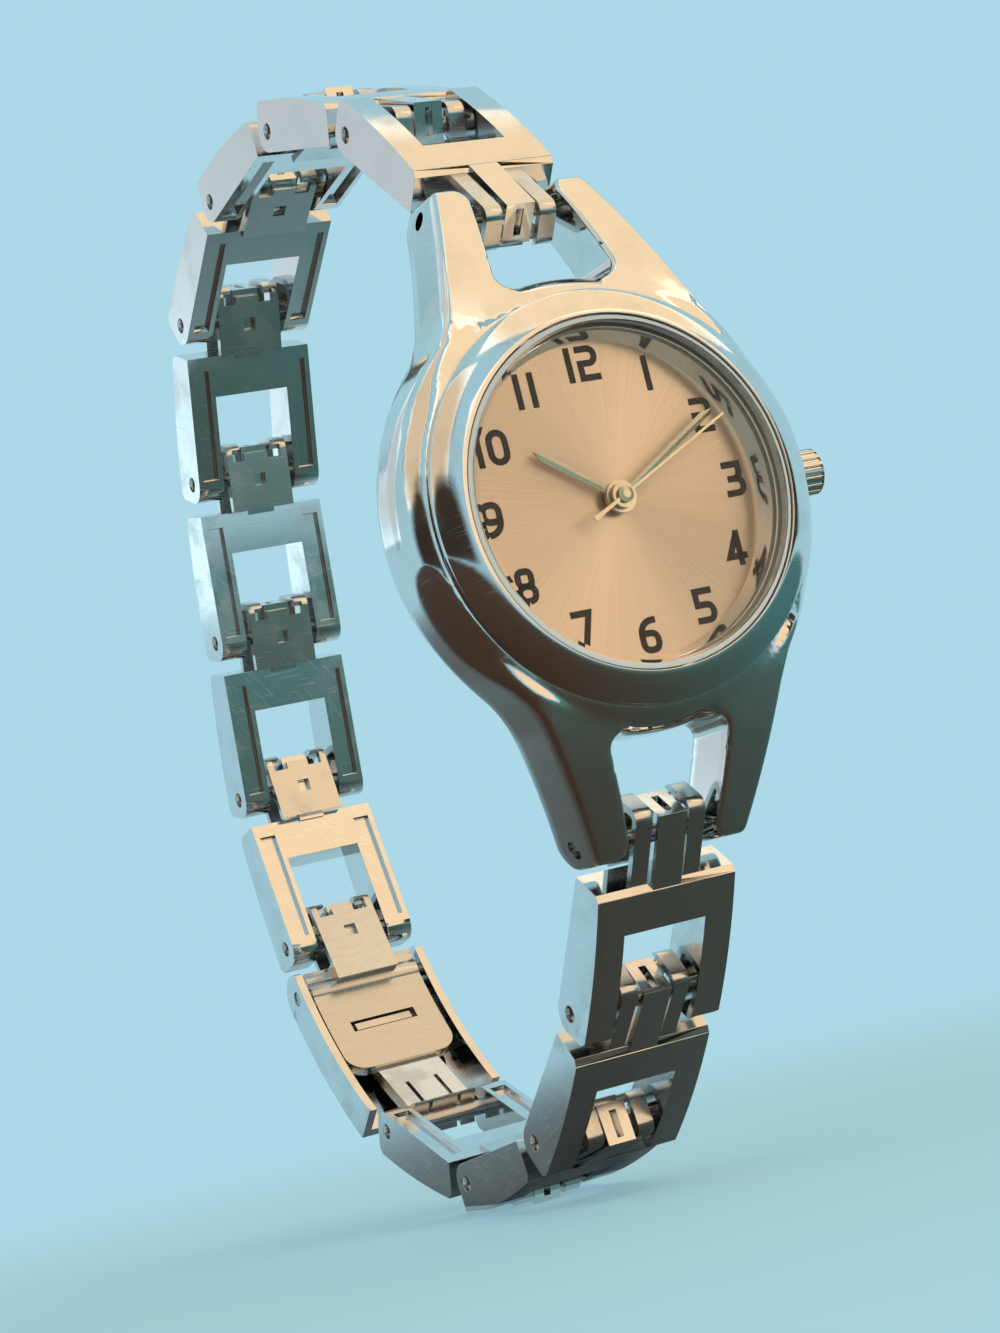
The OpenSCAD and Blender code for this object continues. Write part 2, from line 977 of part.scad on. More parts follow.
module case_back() {
    edge = 0.25;
    bottom = case_depth + back_t;
    color([0.74, 0.74, 0.76])
        spun() {
            polygon([
                [0, -bottom],
                [back_r - edge, -bottom],
                [back_r, edge - bottom],
                [back_r, -case_depth],
                [0, -case_depth]
            ]);
            translate([boss_in, -case_depth])
                square([boss_r - boss_in, boss_h]);
        }
}

module back_gasket() {
    color([0.15, 0.15, 0.15])
        spun()
            translate([boss_in, boss_h - case_depth])
                square([boss_r - boss_in, back_seal_t]);
}

// Movement

module movement_holder() {
    color([0.92, 0.92, 0.9])
        difference() {
            spun()
                translate([move_r, -case_depth])
                    square([bore_r - move_r, case_depth - dial_t]);
            on_stem()
                cylinder(r = stem_r + 0.15, h = case_r);
        }
}

module movement_relief() {
    board_t = 0.3;
    board_r = move_r - 0.5;
    board_from = 1.4;
    coil = [6.4, 0.95];
    coil_at = [-1.6, 4.9, -2.9];
    bridge_at = [2.7, -4.2];
    bridge = [2.1, 0.35];
    translate([0, 0, -move_back - board_t])
        intersection() {
            cylinder(r = board_r, h = 2 * board_t);
            translate([-board_r, board_from, -spill])
                cube([2 * board_r, board_r, board_t + 2 * spill]);
        }
    translate(coil_at)
        cross_pin(coil[1], coil[0]);
    translate([bridge_at[0], bridge_at[1], -move_back - bridge[1]])
        cylinder(r = bridge[0], h = 2 * bridge[1]);
}

module movement_plate() {
    lever_room = [1.7, 1.9];
    strap = [10.5, 1.6, 0.2];
    strap_from = battery_at - [battery_r + 0.6, strap[1] / 2];
    color([0.75, 0.68, 0.5])
        watch_axis() {
            difference() {
                union() {
                    translate([0, 0, -move_back])
                        cylinder(r = move_r, h = move_back - dial_t);
                    movement_relief();
                }
                translate([0, 0, pipe_bottom - 0.2])
                    cylinder(r = pipe_bore, h = 3);
                translate([battery_at[0], battery_at[1], -move_back - spill])
                    cylinder(r = battery_r, h = pocket_floor + move_back + spill);
                translate([0, 0, -stem_back])
                    rotate([0, 90, 0])
                        translate([0, 0, stem_from - 0.2])
                            cylinder(r = stem_r + run_gap, h = move_r);
                translate([groove_at - 0.15, -lever_room[1] / 2, -move_back - spill])
                    cube([lever_room[0], lever_room[1], spill + move_back - stem_back + 0.6]);
            }
            translate([strap_from[0], strap_from[1], -move_back - strap[2]])
                cube(strap);
        }
}

module battery() {
    rim = 0.25;
    can = 1.7;
    color([0.75, 0.75, 0.76])
        watch_axis()
            translate([battery_at[0], battery_at[1], 0]) {
                translate([0, 0, -move_back])
                    cylinder(r = battery_r, h = can);
                translate([0, 0, can - move_back])
                    cylinder(r = battery_r - rim, h = move_back + pocket_floor - can);
            }
}

for (i = [1:upper_count]) {
    link(1, i);
    clip(1, i);
    pin(1, i);
}
for (i = [1:lower_count]) {
    link(-1, i);
    clip(-1, i);
    pin(-1, i);
}
lug_pin(1);  // lug_pin_12
lug_pin(-1);  // lug_pin_6
clasp_base();
clasp_hook();
clasp_hinge_pin();
clasp_cover();
case_body();
bezel();
crystal_gasket();
crystal();
dial_ring();
dial();
hour_hand();
minute_hand();
second_hand();
crown_tube();
stem();
setting_lever();
crown();
case_back();
back_gasket();
movement_holder();
movement_plate();
battery();
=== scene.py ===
"""Small round bracelet watch in polished steel, built from the case outwards to the clasp."""

import json
import math

import bmesh
import bpy
import mathutils.geometry
import numpy as np
from mathutils import Matrix, Vector

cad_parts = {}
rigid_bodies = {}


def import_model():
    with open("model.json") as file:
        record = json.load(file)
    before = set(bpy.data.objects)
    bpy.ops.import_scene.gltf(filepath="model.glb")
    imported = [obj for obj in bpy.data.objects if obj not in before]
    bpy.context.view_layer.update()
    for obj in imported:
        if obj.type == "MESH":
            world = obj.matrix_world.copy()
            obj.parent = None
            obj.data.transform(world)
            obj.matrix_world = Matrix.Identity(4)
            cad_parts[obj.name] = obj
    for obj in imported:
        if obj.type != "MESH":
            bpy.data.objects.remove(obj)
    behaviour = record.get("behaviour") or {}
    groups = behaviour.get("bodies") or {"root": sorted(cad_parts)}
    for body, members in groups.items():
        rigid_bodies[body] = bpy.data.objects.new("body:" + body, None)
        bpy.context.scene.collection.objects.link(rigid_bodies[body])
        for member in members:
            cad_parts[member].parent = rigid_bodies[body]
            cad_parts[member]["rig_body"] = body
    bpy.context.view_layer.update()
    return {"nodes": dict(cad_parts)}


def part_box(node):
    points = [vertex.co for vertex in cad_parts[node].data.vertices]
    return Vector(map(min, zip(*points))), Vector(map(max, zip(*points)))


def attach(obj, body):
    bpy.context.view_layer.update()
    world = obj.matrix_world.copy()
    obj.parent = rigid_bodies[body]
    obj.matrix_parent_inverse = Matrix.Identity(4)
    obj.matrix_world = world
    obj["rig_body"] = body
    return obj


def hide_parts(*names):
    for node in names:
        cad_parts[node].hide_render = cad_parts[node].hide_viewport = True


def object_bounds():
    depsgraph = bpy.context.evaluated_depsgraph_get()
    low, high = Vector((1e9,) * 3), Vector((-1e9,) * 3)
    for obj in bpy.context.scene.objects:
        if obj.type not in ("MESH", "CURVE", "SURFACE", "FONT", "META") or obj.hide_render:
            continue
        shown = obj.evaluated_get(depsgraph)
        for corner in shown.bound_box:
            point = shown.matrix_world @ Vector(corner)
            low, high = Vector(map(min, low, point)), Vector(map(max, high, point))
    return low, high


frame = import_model()
nodes = frame["nodes"]

# Case: the middle of the watch and its four lug arms are one steel casting. It is milled, then
# polished all over on soft wheels, which breaks every edge a little and leaves a faint haze.
MM = 0.001
case_steel = (0.80, 0.79, 0.77)


def finish_effect(name, colour, roughness, **more):
    """Empty node group for a surface effect with its starting values, and its two end nodes."""
    group = bpy.data.node_groups.new(name, "ShaderNodeTree")
    kinds = {"Color": "NodeSocketColor"}
    for label, start in {"Color": (*colour, 1), "Roughness": roughness, **more}.items():
        kind = kinds.get(label, "NodeSocketFloat")
        socket = group.interface.new_socket(name=label, in_out="INPUT", socket_type=kind)
        socket.default_value = start
    for label in ("Color", "Roughness", "Height"):
        kind = kinds.get(label, "NodeSocketFloat")
        group.interface.new_socket(name=label, in_out="OUTPUT", socket_type=kind)
    return group, group.nodes.new("NodeGroupInput"), group.nodes.new("NodeGroupOutput")


def combine(tree, operation, *values):
    """Math node on sockets or numbers; returns its output."""
    node = tree.nodes.new("ShaderNodeMath")
    node.operation = operation
    for socket, value in zip(node.inputs, values):
        if isinstance(value, bpy.types.NodeSocket):
            tree.links.new(value, socket)
        else:
            socket.default_value = value
    return node.outputs[0]


def place_in_mm(tree, turn=(0, 0, 0), stretch=(1, 1, 1)):
    """Place on the piece in millimetres, turned and then stretched along its axes."""
    coords = tree.nodes.new("ShaderNodeTexCoord")
    turned = tree.nodes.new("ShaderNodeMapping")
    turned.inputs["Rotation"].default_value = [math.radians(angle) for angle in turn]
    tree.links.new(coords.outputs["Object"], turned.inputs["Vector"])
    scaled = tree.nodes.new("ShaderNodeVectorMath")
    scaled.operation = "MULTIPLY"
    scaled.inputs[1].default_value = [factor / MM for factor in stretch]
    tree.links.new(turned.outputs["Vector"], scaled.inputs[0])
    return scaled.outputs["Vector"]


def clouds(tree, place, scale, detail):
    """Noise over the surface, between 0 and 1."""
    node = tree.nodes.new("ShaderNodeTexNoise")
    node.inputs["Scale"].default_value = scale
    node.inputs["Detail"].default_value = detail
    tree.links.new(place, node.inputs["Vector"])
    return node.outputs["Fac"]


def between(tree, value, low, high):
    """0 below low and 1 above high, with a smooth step between."""
    node = tree.nodes.new("ShaderNodeMapRange")
    node.interpolation_type = "SMOOTHSTEP"
    node.inputs["From Min"].default_value = low
    node.inputs["From Max"].default_value = high
    tree.links.new(value, node.inputs["Value"])
    return node.outputs["Result"]


def darker(tree, colour, amount, tint):
    """Colour multiplied by tint where amount is 1."""
    node = tree.nodes.new("ShaderNodeMix")
    node.data_type = "RGBA"
    node.blend_type = "MULTIPLY"
    node.inputs["B"].default_value = (*tint, 1)
    tree.links.new(amount, node.inputs["Factor"])
    tree.links.new(colour, node.inputs["A"])
    return node.outputs["Result"]


# Wear on polished steel: clouds of handling haze, and hairline scratches in two directions, each
# with its turn in degrees and its stretch along the axes
haze_tint = (0.93, 0.92, 0.90)
haze_level = (0.45, 0.7)
hairline_runs = (((18, 0, 25), (0.3, 0.3, 18)), ((0, 35, 12), (16, 0.3, 0.3)))
hairline_level = (0.69, 0.73)
hairline_dulling = 0.12
polish_wear, wear_in, wear_out = finish_effect("Polish wear", case_steel, 0.06, Haze=0.1)
haze_noise = clouds(polish_wear, place_in_mm(polish_wear), 0.35, 4)
haze_clouds = between(polish_wear, haze_noise, *haze_level)
scratch_masks = [
    between(polish_wear, clouds(polish_wear, place_in_mm(polish_wear, *run), 1, 1), *hairline_level)
    for run in hairline_runs
]
hairlines = combine(polish_wear, "MAXIMUM", *scratch_masks)
dulled = combine(polish_wear, "MULTIPLY", haze_clouds, wear_in.outputs["Haze"])
roughened = combine(polish_wear, "ADD", wear_in.outputs["Roughness"], dulled)
roughened = combine(polish_wear, "MULTIPLY_ADD", hairlines, hairline_dulling, roughened)
dimmed = darker(polish_wear, wear_in.outputs["Color"], haze_clouds, haze_tint)
polish_wear.links.new(dimmed, wear_out.inputs["Color"])
polish_wear.links.new(roughened, wear_out.inputs["Roughness"])
polish_wear.links.new(combine(polish_wear, "MULTIPLY", hairlines, -1), wear_out.inputs["Height"])

relief_depth = 0.01 * MM


def finish_material(name, effect, settings, metallic=1.0, bump=0.1, **shader_values):
    """Material whose colour, roughness and relief come from an effect group with these settings."""
    material = bpy.data.materials.new(name)
    material.use_nodes = True
    tree = material.node_tree
    shader = tree.nodes["Principled BSDF"]
    shader.inputs["Metallic"].default_value = metallic
    for label, value in shader_values.items():
        shader.inputs[label.replace("_", " ")].default_value = value
    surface = tree.nodes.new("ShaderNodeGroup")
    surface.node_tree = effect
    for label, value in settings.items():
        surface.inputs[label].default_value = (*value, 1) if label == "Color" else value
    relief = tree.nodes.new("ShaderNodeBump")
    relief.inputs["Strength"].default_value = bump
    relief.inputs["Distance"].default_value = relief_depth
    tree.links.new(surface.outputs["Color"], shader.inputs["Base Color"])
    tree.links.new(surface.outputs["Roughness"], shader.inputs["Roughness"])
    tree.links.new(surface.outputs["Height"], relief.inputs["Height"])
    tree.links.new(relief.outputs["Normal"], shader.inputs["Normal"])
    return material


def placed(name, shape, material=None):
    """Object made of the finished shape, in the scene."""
    mesh = bpy.data.meshes.new(name)
    shape.to_mesh(mesh)
    shape.free()
    if material:
        mesh.materials.append(material)
    piece = bpy.data.objects.new(name, mesh)
    bpy.context.scene.collection.objects.link(piece)
    return piece


weld_distance = 0.002 * MM
flat_angle = math.radians(0.1)
sharp_angle = math.radians(28)


def dressed(node, material, edge=0.0):
    """The piece as it shows: the node itself, or a copy with its sharp edges broken by edge."""
    if not edge:
        nodes[node].data.materials.clear()
        nodes[node].data.materials.append(material)
        return nodes[node]
    shape = bmesh.new()
    shape.from_mesh(nodes[node].data)
    bmesh.ops.remove_doubles(shape, verts=shape.verts, dist=weld_distance)
    bmesh.ops.dissolve_limit(shape, angle_limit=flat_angle, verts=shape.verts, edges=shape.edges)
    for face in shape.faces:
        face.smooth = True
    piece = placed(node + "_finished", shape, material)
    rounding = piece.modifiers.new("Broken edge", "BEVEL")
    rounding.width = edge
    rounding.segments = 2
    rounding.limit_method = "ANGLE"
    rounding.angle_limit = sharp_angle
    rounding.use_clamp_overlap = True
    even = piece.modifiers.new("Flat faces stay flat", "WEIGHTED_NORMAL")
    even.keep_sharp = True
    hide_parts(node)
    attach(piece, nodes[node]["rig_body"])
    return piece


case_finish = finish_material(
    "Case steel", polish_wear, {"Color": case_steel, "Roughness": 0.07, "Haze": 0.08}
)

# Sizes of the casting in millimetres, with x to three o'clock, y to twelve and z out of the dial
dial_face_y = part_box("dial")[0].y
case_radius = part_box("case_body")[1].x / MM
lug_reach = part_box("case_body")[1].z / MM
seat_height = 1.0
shoulder_bend = 2.6
shoulder_height = -1.28
skirt_slope = 0.8
neck_radius = 11.3
neck_height = 2.15
bore_radius = 10.88
rim_back = -4.0
back_bevel = (0.7, 0.84)
clip_clearance = 0.45
pin_recess = 0.3
arm_gap_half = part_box("upper_clip_1")[1].x / MM + clip_clearance
arm_tip_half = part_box("lug_pin_12")[1].x / MM + pin_recess
inner_root = (1.5 * arm_gap_half, 13.3)
outer_root = (8.76, 11.05)
notch_radius = 0.9
flow_radius = 8.0
inner_corner = 0.9
outer_corner = 0.5
pin_radius = 0.55
pin_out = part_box("lug_pin_12")[0].z / MM + pin_radius
pin_depth = (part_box("lug_pin_12")[0].y - dial_face_y) / MM + pin_radius
pin_hole_radius = 0.56
tip_half_height = 1.95
tip_round = 1.3
arm_top = 1.4
edge_round = 0.3
back_round = 0.2
outline_step = 0.12
skin_step = 0.35
skin_clearance = 0.22


def arc_between(centre, start, end):
    """Points the short way round an arc, its ends included."""
    spoke, last = start - centre, end - centre
    sweep = math.atan2(spoke.x * last.y - spoke.y * last.x, spoke.dot(last))
    count = max(2, math.ceil(abs(sweep) * spoke.length / outline_step))
    points = []
    for i in range(count + 1):
        turn = sweep * i / count
        across = spoke.x * math.cos(turn) - spoke.y * math.sin(turn)
        points.append(centre + Vector((across, spoke.x * math.sin(turn) + spoke.y * math.cos(turn))))
    return points


def rounded_corner(before, corner, after, radius):
    """Arc that rounds the corner of a path."""
    come, go = (before - corner).normalized(), (after - corner).normalized()
    half = come.angle(go) / 2
    centre = corner + (come + go).normalized() * radius / math.sin(half)
    reach = radius / math.tan(half)
    return arc_between(centre, corner + come * reach, corner + go * reach)


def root_hollow(tip, root, side, radius):
    """Hollow between an arm's edge and the round case: its centre, and where it leaves each."""
    along = (root - tip).normalized()
    out = Vector((-along.y, along.x)) * side
    off = out.dot(tip) + radius
    reach = case_radius + radius
    centre = out * off - along * math.sqrt(reach**2 - off**2)
    return centre, centre - out * radius, centre * case_radius / reach


def case_outline():
    """The casting seen from the front, clockwise from twelve: a circle that flows into four arms."""
    middle = Vector((0, 0))
    inner_tip, outer_tip = Vector((arm_gap_half, lug_reach)), Vector((arm_tip_half, lug_reach))
    notch, notch_arm, notch_case = root_hollow(inner_tip, Vector(inner_root), -1, notch_radius)
    flow, flow_arm, flow_case = root_hollow(outer_tip, Vector(outer_root), 1, flow_radius)
    quarter = (
        arc_between(middle, Vector((0, case_radius)), notch_case)
        + arc_between(notch, notch_case, notch_arm)
        + rounded_corner(notch_arm, inner_tip, outer_tip, inner_corner)
        + rounded_corner(inner_tip, outer_tip, flow_arm, outer_corner)
        + arc_between(flow, flow_arm, flow_case)
        + arc_between(middle, flow_case, Vector((case_radius, 0)))
    )
    even = [quarter[0]]
    for point in quarter[1:]:
        start = even[-1]
        gap = (point - start).length
        if gap > 0.01:
            pieces = max(1, round(gap / outline_step))
            even += [start.lerp(point, (i + 1) / pieces) for i in range(pieces)]
    turned = [(1, 1, even), (1, -1, even[::-1]), (-1, -1, even), (-1, 1, even[::-1])]
    return [Vector((sx * p.x, sy * p.y)) for sx, sy, side in turned for p in side[:-1]]


def arc_through(start, end, radius):
    """Centre of the arc that rises over the way from start to end."""
    way = end - start
    rise = math.sqrt(radius**2 - way.length**2 / 4)
    return (start + end) / 2 + Vector((way.y, -way.x)) / way.length * rise


# Profiles of an arm seen from the side, with distance from the middle and height
front_arc = 33.0
front_centre = arc_through(
    Vector((case_radius - 0.8, 0.3)), Vector((lug_reach - 0.2, tip_half_height - pin_depth)), front_arc
)
back_arc = 30.0
back_centre = arc_through(
    Vector((case_radius - 0.6, rim_back - 0.5)),
    Vector((pin_out - 0.45, -pin_depth - tip_half_height)),
    back_arc,
)
heel_y = lug_reach - tip_round
heel_z = back_centre.y + math.sqrt((back_arc + tip_round) ** 2 - (heel_y - back_centre.x) ** 2)
heel_from = heel_y + tip_round / (back_arc + tip_round) * (back_centre.x - heel_y)


def eased(value, low, high):
    """0 below low, 1 above high, and smooth between."""
    part = min(max((value - low) / (high - low), 0), 1)
    return part * part * (3 - 2 * part)


# An arm begins and ends at these angles round the case, in degrees from twelve, and comes out of
# it between these distances from the middle
root_angles = (9.5, 14.8)
flow_angles = (34, 62)
root_reach = (case_radius + 0.9, case_radius + 2.4)
arm_rise = (12.75, 13.6)
arm_softness = 0.06


def arm_share(x, y):
    """How far a point belongs to an arm: 1 on it, 0 on the free rim, and smooth between."""
    away = math.hypot(x, y)
    turn = math.degrees(math.atan2(abs(x), abs(y)))
    root = max(eased(turn, *root_angles), eased(away, *root_reach))
    return (1 - eased(turn, *flow_angles)) * root


def front_height(x, y):
    """Height of the casting's front skin."""
    away = math.hypot(x, y)
    shoulder_from = case_radius - shoulder_bend
    if away <= case_radius:
        rim = shoulder_height + math.sqrt(max(shoulder_bend**2 - max(away - shoulder_from, 0) ** 2, 0))
        rim = min(rim, seat_height)
    else:
        rim = shoulder_height - skirt_slope * (away - case_radius)
    arm = min(front_centre.y + math.sqrt(front_arc**2 - (abs(y) - front_centre.x) ** 2), arm_top)
    gain = arm - rim
    lift = (gain + math.sqrt(gain**2 + arm_softness)) / 2
    return rim + arm_share(x, y) * eased(away, *arm_rise) * lift


def back_height(x, y):
    """Height of the casting's back skin."""
    away = math.hypot(x, y)
    bevel_width, bevel_rise = back_bevel
    rim = rim_back + bevel_rise * min(max((away - case_radius + bevel_width) / bevel_width, 0), 1)
    if abs(y) < heel_from:
        arm = back_centre.y + math.sqrt(back_arc**2 - (abs(y) - back_centre.x) ** 2)
    else:
        arm = heel_z - math.sqrt(max(tip_round**2 - (abs(y) - heel_y) ** 2, 0))
    return rim + arm_share(x, y) * min(arm - rim, 0)


def on_watch(x, y, z):
    """A place in the watch's millimetres, as a place in the frame."""
    return Vector((x * MM, dial_face_y - z * MM, y * MM))


def within(point, loop):
    """True if the point lies inside the closed loop."""
    x, y = loop[:, 0], loop[:, 1]
    nx, ny = np.roll(x, -1), np.roll(y, -1)
    crossing = (y > point[1]) != (ny > point[1])
    reach = x + (point[1] - y) / np.where(crossing, ny - y, 1) * (nx - x)
    return np.count_nonzero(crossing & (point[0] < reach)) % 2 == 1


def skin(shape, edge, hole, height):
    """Fills between the closed rows of vertices edge and hole with an even net at that height."""
    rows = [(v.co.x / MM, v.co.z / MM) for v in edge + hole]
    count = len(edge)
    rim_points = np.array(rows[:count])
    across = np.arange(-case_radius, case_radius, skin_step)
    along = np.arange(-lug_reach, lug_reach, skin_step)
    grid = np.array([(x, y) for y in along for x in across if math.hypot(x, y) > neck_radius + 0.2])
    clear = np.array([np.min(np.hypot(*(rim_points - p).T)) for p in grid]) > skin_clearance
    inside = np.array([within(p, rim_points) for p in grid])
    grid = [tuple(p) for p in grid[clear & inside]]
    loops = [(i, (i + 1) % count) for i in range(count)]
    loops += [(count + i, count + (i + 1) % len(hole)) for i in range(len(hole))]
    flat = [Vector(p) for p in rows + grid]
    places, _, faces, origins, _, _ = mathutils.geometry.delaunay_2d_cdt(flat, loops, [], 0, 1e-5)
    known = edge + hole
    net = []
    for place, origin in zip(places, origins):
        old = [i for i in origin if i < len(known)]
        net.append(known[old[0]] if old else shape.verts.new(on_watch(*place, height(*place))))
    for face in faces:
        middle = sum((places[i] for i in face), Vector((0, 0))) / 3
        if middle.length > neck_radius * 0.999 and within(middle, rim_points):
            shape.faces.new([net[i] for i in face])


def stitch(shape, rows):
    """Quads between neighbouring closed rows of vertices."""
    for low, high in zip(rows, rows[1:]):
        for i in range(len(low)):
            j = (i + 1) % len(low)
            shape.faces.new((low[i], low[j], high[j], high[i]))


casting = bmesh.new()
outline = case_outline()
outward = []
for i, point in enumerate(outline):
    way = outline[(i + 1) % len(outline)] - outline[i - 1]
    outward.append(Vector((-way.y, way.x)).normalized())
edge_turns = [math.radians(a) for a in (0, 22, 45, 68, 90)]
wall_rows = 6
neck_count = 240
skin_rows = []
for turn in edge_turns:
    row = []
    for point, out in zip(outline, outward):
        x, y = point - out * edge_round * (1 - math.sin(turn))
        fall = edge_round * (1 - math.cos(turn)) * arm_share(x, y)
        row.append(casting.verts.new(on_watch(x, y, front_height(x, y) - fall)))
    skin_rows.append(row)
for i in range(1, wall_rows):
    row = []
    for point in outline:
        top = front_height(*point) - edge_round * arm_share(*point)
        bottom = back_height(*point) + back_round
        row.append(casting.verts.new(on_watch(*point, top + (bottom - top) * i / wall_rows)))
    skin_rows.append(row)
for turn in reversed(edge_turns):
    row = []
    for point, out in zip(outline, outward):
        x, y = point - out * back_round * (1 - math.sin(turn))
        rise = back_round * (1 - math.cos(turn))
        row.append(casting.verts.new(on_watch(x, y, back_height(x, y) + rise)))
    skin_rows.append(row)
stitch(casting, skin_rows)
neck_steps = [2 * math.pi * i / neck_count for i in range(neck_count)]
neck_rows = [
    [casting.verts.new(on_watch(r * math.sin(a), r * math.cos(a), z)) for a in neck_steps]
    for r, z in (
        (neck_radius, seat_height),
        (neck_radius, neck_height),
        (bore_radius, neck_height),
        (bore_radius, rim_back),
        (neck_radius, rim_back),
    )
]
stitch(casting, neck_rows)
skin(casting, skin_rows[0], neck_rows[0], front_height)
skin(casting, skin_rows[-1], neck_rows[-1], back_height)
bmesh.ops.recalc_face_normals(casting, faces=casting.faces)
case = placed("case_casting", casting, case_finish)

# The pin holes are drilled across the arms after casting.
drill = bmesh.new()
for side in (-1, 1):
    drilled = bmesh.ops.create_cone(
        drill,
        cap_ends=True,
        segments=48,
        radius1=pin_hole_radius * MM,
        radius2=pin_hole_radius * MM,
        depth=4 * arm_tip_half * MM,
    )
    bmesh.ops.rotate(
        drill, verts=drilled["verts"], cent=(0, 0, 0), matrix=Matrix.Rotation(math.radians(90), 3, "Y")
    )
    bmesh.ops.translate(drill, verts=drilled["verts"], vec=on_watch(0, side * pin_out, -pin_depth))
pin_drill = placed("pin_drill", drill)
drilling = case.modifiers.new("Pin holes", "BOOLEAN")
drilling.object = pin_drill
drilling.solver = "EXACT"
bpy.context.view_layer.update()
drilled_view = case.evaluated_get(bpy.context.evaluated_depsgraph_get())
drilled_case = bpy.data.meshes.new_from_object(drilled_view)
case.modifiers.clear()
case.data = drilled_case
bpy.data.objects.remove(pin_drill)
for face in drilled_case.polygons:
    face.use_smooth = True
drilled_case.set_sharp_from_angle(angle=math.radians(40))
case.modifiers.new("Flat faces stay flat", "WEIGHTED_NORMAL").keep_sharp = True
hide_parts("case_body")
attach(case, "head")

# Bezel: a turned ring of the same steel, pressed over the neck of the case. It holds the glass
# down in its gasket and is polished with the case.
dressed("bezel", case_finish, 0.05 * MM)

# Gasket: a ring of pale nylon, moulded in one shot. It is pressed into the bezel and grips the
# edge of the glass.
gasket_colour = (0.85, 0.85, 0.82)
speckle_tint = (0.86, 0.86, 0.86)
fine_speckle, speckle_in, speckle_out = finish_effect("Moulded speckle", gasket_colour, 0.5)
speckle = clouds(fine_speckle, place_in_mm(fine_speckle), 9, 3)
fine_speckle.links.new(
    darker(fine_speckle, speckle_in.outputs["Color"], speckle, speckle_tint),
    speckle_out.inputs["Color"],
)
fine_speckle.links.new(
    combine(fine_speckle, "MULTIPLY_ADD", speckle, 0.12, speckle_in.outputs["Roughness"]),
    speckle_out.inputs["Roughness"],
)
fine_speckle.links.new(speckle, speckle_out.inputs["Height"])
nylon = finish_material(
    "Gasket nylon", fine_speckle, {"Color": gasket_colour, "Roughness": 0.45}, metallic=0.0
)
dressed("crystal_gasket", nylon)

# Crystal: a flat disc of mineral glass with a ground and polished edge, held in its gasket. Its
# index is set lower than real glass has, so that the reflection over the numerals stays faint.
glass_colour = (0.97, 0.985, 0.98)
glass_index = 1.25
glass = bpy.data.materials.new("Mineral glass")
glass.use_nodes = True
glass_shader = glass.node_tree.nodes["Principled BSDF"]
glass_shader.inputs["Base Color"].default_value = (*glass_colour, 1)
glass_shader.inputs["Transmission Weight"].default_value = 1.0
glass_shader.inputs["IOR"].default_value = glass_index
finger_film = clouds(glass.node_tree, place_in_mm(glass.node_tree), 0.25, 5)
glass.node_tree.links.new(
    combine(glass.node_tree, "MULTIPLY", between(glass.node_tree, finger_film, 0.5, 0.8), 0.03),
    glass_shader.inputs["Roughness"],
)
crystal = dressed("crystal", glass)
crystal.visible_shadow = False

# Dial ring: a turned and polished steel cone that leads from the gasket down to the dial, and
# mirrors the numerals.
ring_finish = finish_material(
    "Dial ring steel", polish_wear, {"Color": (0.82, 0.80, 0.77), "Roughness": 0.08, "Haze": 0.03}
)
dressed("dial_ring", ring_finish)

# Dial: a thin brass disc, brushed outwards from its centre on a turning wheel and lacquered in
# a pale champagne. The radial brushing stretches its real highlight round the centre. Two bright
# sectors and the dark ones between them are painted highlight and shade in the colour, at a fixed angle
# that does not turn with the light.
dial_colour = (0.77, 0.47, 0.29)
ray_tint = (0.93, 0.925, 0.91)
# Painted shade: how dark the painted sectors get, and the angle of the painted bright ones in degrees
# from three o'clock
painted_sector_shade_tint = (0.84, 0.83, 0.82)
painted_sector_highlight_angle = 68
sunray_and_painted_sectors, sunray_in, sunray_out = finish_effect("Sunray brushing and painted sectors", dial_colour, 0.3)
around = sunray_and_painted_sectors.nodes.new("ShaderNodeSeparateXYZ")
sunray_and_painted_sectors.links.new(place_in_mm(sunray_and_painted_sectors), around.inputs["Vector"])
ray_angle = combine(sunray_and_painted_sectors, "ARCTAN2", around.outputs["Z"], around.outputs["X"])
ray_place = sunray_and_painted_sectors.nodes.new("ShaderNodeCombineXYZ")
sunray_and_painted_sectors.links.new(combine(sunray_and_painted_sectors, "SINE", ray_angle), ray_place.inputs["X"])
sunray_and_painted_sectors.links.new(combine(sunray_and_painted_sectors, "COSINE", ray_angle), ray_place.inputs["Y"])
rays = clouds(sunray_and_painted_sectors, ray_place.outputs["Vector"], 60, 4)
streaked = darker(sunray_and_painted_sectors, sunray_in.outputs["Color"], between(sunray_and_painted_sectors, rays, 0.3, 0.7), ray_tint)
# Painted highlight and shade: the colour stays full in two opposite sectors at the given angle and is
# darkened by the tint between them, whatever the light does
twice_round = combine(sunray_and_painted_sectors, "MULTIPLY_ADD", ray_angle, 2, math.radians(-2 * painted_sector_highlight_angle))
painted_sector_shade = combine(sunray_and_painted_sectors, "MULTIPLY_ADD", combine(sunray_and_painted_sectors, "COSINE", twice_round), -0.5, 0.5)
sunray_and_painted_sectors.links.new(darker(sunray_and_painted_sectors, streaked, painted_sector_shade, painted_sector_shade_tint), sunray_out.inputs["Color"])
sunray_and_painted_sectors.links.new(
    combine(sunray_and_painted_sectors, "MULTIPLY_ADD", rays, 0.08, sunray_in.outputs["Roughness"]),
    sunray_out.inputs["Roughness"],
)
sunray_and_painted_sectors.links.new(rays, sunray_out.inputs["Height"])
dial_finish = finish_material(
    "Dial lacquer and painted sectors",
    sunray_and_painted_sectors,
    {"Color": dial_colour, "Roughness": 0.32},
    metallic=0.9,
    bump=0.12,
    Anisotropic=1.0,
    Coat_Weight=0.25,
)
brushing = dial_finish.node_tree.nodes.new("ShaderNodeTangent")
brushing.direction_type = "RADIAL"
brushing.axis = "Y"
